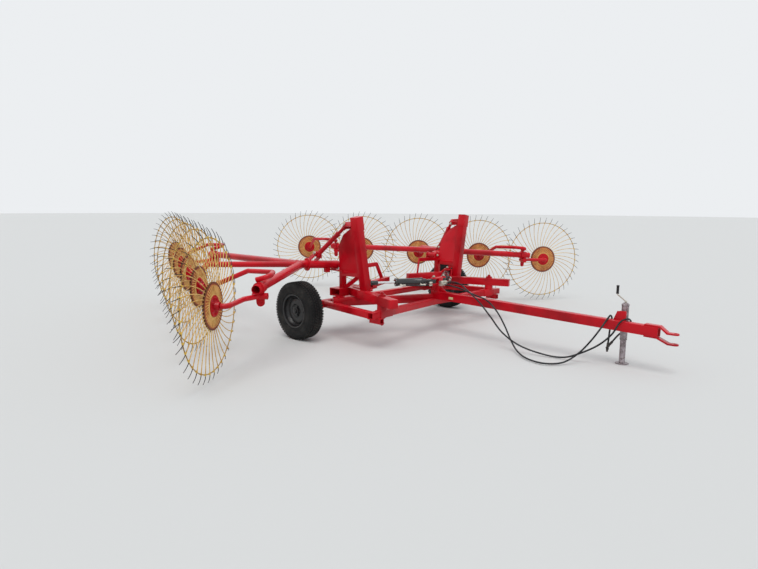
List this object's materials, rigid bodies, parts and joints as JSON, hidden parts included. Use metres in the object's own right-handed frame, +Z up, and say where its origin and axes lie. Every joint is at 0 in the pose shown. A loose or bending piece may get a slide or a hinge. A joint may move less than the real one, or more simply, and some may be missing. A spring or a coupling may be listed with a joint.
{
  "type": "rotary hay rake",
  "caption": "Trailed V rake for hay: a wheeled frame with swinging carriages, lifting booms, tined finger wheels, steering cylinders, a long tongue and a jack.",
  "frame": {"origin": "middle of the hitch pin's bore, on the machine's centre line", "axes": "+X forward in the direction of travel, +Y to the machine's left, +Z up along the hitch pin"},
  "size_m": [7.3341, 7.3452, 1.4701],
  "materials": {
    "red_paint": "gloss",
    "tines": "painted wire, worn",
    "tyre": "matte",
    "rim": "satin",
    "hose": "satin",
    "zinc": "zinc plated",
    "galvanised": "galvanised",
    "cylinder": "gloss",
    "chrome": "polished"
  },
  "bodies": {
    "frame": {"front_beam": "red_paint", "side_rails": "red_paint", "axle_beam": "red_paint", "stub_axles": "red_paint", "diagonals": "red_paint", "tongue": "red_paint", "hitch_straps": "red_paint", "cylinder_mast": "red_paint", "jack_housing": "galvanised", "jack_crank": "galvanised", "hose_a": "hose", "hose_b": "hose", "coupler_a": "zinc", "coupler_b": "zinc", "line_fittings": "zinc"},
    "jack_leg": {"jack_leg": "galvanised"},
    "ground_wheel_left": {"tyre_left": "tyre", "rim_left": "rim"},
    "carriage_left": {"carriage_left": "red_paint", "tower_left": "red_paint"},
    "boom_left": {"boom_left": "red_paint", "front_arms_left": "red_paint", "rear_arms_left": "red_paint"},
    "strut_rod_left": {"strut_rod_left": "red_paint"},
    "strut_tube_left": {"strut_tube_left": "red_paint"},
    "cylinder_barrel_left": {"cylinder_barrel_left": "cylinder"},
    "cylinder_rod_left": {"cylinder_rod_left": "chrome"},
    "rake_left_1": {"rake_left_1": "tines", "hub_left_1": "red_paint"},
    "rake_left_2": {"rake_left_2": "tines", "hub_left_2": "red_paint"},
    "rake_left_3": {"rake_left_3": "tines", "hub_left_3": "red_paint"},
    "rake_left_4": {"rake_left_4": "tines", "hub_left_4": "red_paint"},
    "rake_left_5": {"rake_left_5": "tines", "hub_left_5": "red_paint"},
    "ground_wheel_right": {"tyre_right": "tyre", "rim_right": "rim"},
    "carriage_right": {"carriage_right": "red_paint", "tower_right": "red_paint"},
    "boom_right": {"boom_right": "red_paint", "front_arms_right": "red_paint", "rear_arms_right": "red_paint"},
    "strut_rod_right": {"strut_rod_right": "red_paint"},
    "strut_tube_right": {"strut_tube_right": "red_paint"},
    "cylinder_barrel_right": {"cylinder_barrel_right": "cylinder"},
    "cylinder_rod_right": {"cylinder_rod_right": "chrome"},
    "rake_right_1": {"rake_right_1": "tines", "hub_right_1": "red_paint"},
    "rake_right_2": {"rake_right_2": "tines", "hub_right_2": "red_paint"},
    "rake_right_3": {"rake_right_3": "tines", "hub_right_3": "red_paint"},
    "rake_right_4": {"rake_right_4": "tines", "hub_right_4": "red_paint"},
    "rake_right_5": {"rake_right_5": "tines", "hub_right_5": "red_paint"}
  },
  "joints": [
    {"name": "jack_slide", "type": "slide", "parent": "frame", "child": "jack_leg", "axis": [0, 0, 1], "range_m": [0, 0.23]},
    {"name": "wheel_spin_left", "type": "hinge", "parent": "frame", "child": "ground_wheel_left", "pos_m": [-3.71, 1.49, -0.005], "axis": [0, 1, 0], "continuous": true},
    {"name": "swing_left", "type": "hinge", "parent": "frame", "child": "carriage_left", "pos_m": [-2.73002, 1.11, 0.18], "axis": [0, 0, 1], "range_deg": [-8, 8]},
    {"name": "lift_left", "type": "hinge", "parent": "carriage_left", "child": "boom_left", "pos_m": [-3.61, 0.955, 0.51], "axis": [1, 0, 0], "range_deg": [0, 13]},
    {"name": "strut_tilt_left", "type": "hinge", "parent": "carriage_left", "child": "strut_rod_left", "pos_m": [-3.35, 1.06, 0.995], "axis": [-0.132, 0.8424, 0.5224], "range_deg": [0, 5.52]},
    {"name": "strut_slide_left", "type": "slide", "parent": "strut_rod_left", "child": "strut_tube_left", "axis": [-0.6308, 0.3351, -0.6998], "range_m": [-0.05111, 0]},
    {"name": "cylinder_tilt_left", "type": "hinge", "parent": "frame", "child": "cylinder_barrel_left", "pos_m": [-2.78, 0.1, 0.3], "axis": [0, 0, 1], "range_deg": [-0.6, 0.6]},
    {"name": "cylinder_slide_left", "type": "slide", "parent": "cylinder_barrel_left", "child": "cylinder_rod_left", "axis": [-0.5384, 0.8427, 0], "range_m": [-0.085, 0.085]},
    {"name": "rake_spin_left_1", "type": "hinge", "parent": "boom_left", "child": "rake_left_1", "pos_m": [-2.93, 3.1, 0.35], "axis": [0.8039, -0.5948, 0], "continuous": true},
    {"name": "rake_spin_left_2", "type": "hinge", "parent": "boom_left", "child": "rake_left_2", "pos_m": [-3.91, 2.67, 0.38], "axis": [0.8039, -0.5948, 0], "continuous": true},
    {"name": "rake_spin_left_3", "type": "hinge", "parent": "boom_left", "child": "rake_left_3", "pos_m": [-4.9, 2.24, 0.4], "axis": [0.8039, -0.5948, 0], "continuous": true},
    {"name": "rake_spin_left_4", "type": "hinge", "parent": "boom_left", "child": "rake_left_4", "pos_m": [-5.89, 1.81, 0.42], "axis": [0.8039, -0.5948, 0], "continuous": true},
    {"name": "rake_spin_left_5", "type": "hinge", "parent": "boom_left", "child": "rake_left_5", "pos_m": [-6.87, 1.37, 0.43], "axis": [0.8039, -0.5948, 0], "continuous": true},
    {"name": "wheel_spin_right", "type": "hinge", "parent": "frame", "child": "ground_wheel_right", "pos_m": [-3.71, -1.49, -0.005], "axis": [0, 1, 0], "continuous": true},
    {"name": "swing_right", "type": "hinge", "parent": "frame", "child": "carriage_right", "pos_m": [-2.73002, -1.11, 0.18], "axis": [0, 0, -1], "range_deg": [-8, 8]},
    {"name": "lift_right", "type": "hinge", "parent": "carriage_right", "child": "boom_right", "pos_m": [-3.61, -0.955, 0.51], "axis": [-1, 0, 0], "range_deg": [0, 13]},
    {"name": "strut_tilt_right", "type": "hinge", "parent": "carriage_right", "child": "strut_rod_right", "pos_m": [-3.35, -1.06, 0.995], "axis": [0.132, 0.8424, -0.5224], "range_deg": [0, 5.52]},
    {"name": "strut_slide_right", "type": "slide", "parent": "strut_rod_right", "child": "strut_tube_right", "axis": [-0.6308, -0.3351, -0.6998], "range_m": [-0.05111, 0]},
    {"name": "cylinder_tilt_right", "type": "hinge", "parent": "frame", "child": "cylinder_barrel_right", "pos_m": [-2.78, -0.1, 0.3], "axis": [0, 0, -1], "range_deg": [-0.6, 0.6]},
    {"name": "cylinder_slide_right", "type": "slide", "parent": "cylinder_barrel_right", "child": "cylinder_rod_right", "axis": [-0.5384, -0.8427, 0], "range_m": [-0.085, 0.085]},
    {"name": "rake_spin_right_1", "type": "hinge", "parent": "boom_right", "child": "rake_right_1", "pos_m": [-2.93, -3.1, 0.35], "axis": [0.8039, 0.5948, 0], "continuous": true},
    {"name": "rake_spin_right_2", "type": "hinge", "parent": "boom_right", "child": "rake_right_2", "pos_m": [-3.91, -2.67, 0.38], "axis": [0.8039, 0.5948, 0], "continuous": true},
    {"name": "rake_spin_right_3", "type": "hinge", "parent": "boom_right", "child": "rake_right_3", "pos_m": [-4.9, -2.24, 0.4], "axis": [0.8039, 0.5948, 0], "continuous": true},
    {"name": "rake_spin_right_4", "type": "hinge", "parent": "boom_right", "child": "rake_right_4", "pos_m": [-5.89, -1.81, 0.42], "axis": [0.8039, 0.5948, 0], "continuous": true},
    {"name": "rake_spin_right_5", "type": "hinge", "parent": "boom_right", "child": "rake_right_5", "pos_m": [-6.87, -1.37, 0.43], "axis": [0.8039, 0.5948, 0], "continuous": true}
  ],
  "couplings": [
    {"joint": "strut_tilt_left", "follows": "lift_left", "ratio": 0.42401},
    {"joint": "strut_slide_left", "follows": "lift_left", "m_per_rad": -0.22483},
    {"joint": "cylinder_tilt_left", "follows": "swing_left", "ratio": 0.030942},
    {"joint": "cylinder_slide_left", "follows": "swing_left", "m_per_rad": -0.58417},
    {"joint": "strut_tilt_right", "follows": "lift_right", "ratio": 0.42401},
    {"joint": "strut_slide_right", "follows": "lift_right", "m_per_rad": -0.22483},
    {"joint": "cylinder_tilt_right", "follows": "swing_right", "ratio": 0.030942},
    {"joint": "cylinder_slide_right", "follows": "swing_right", "m_per_rad": -0.58417}
  ]
}
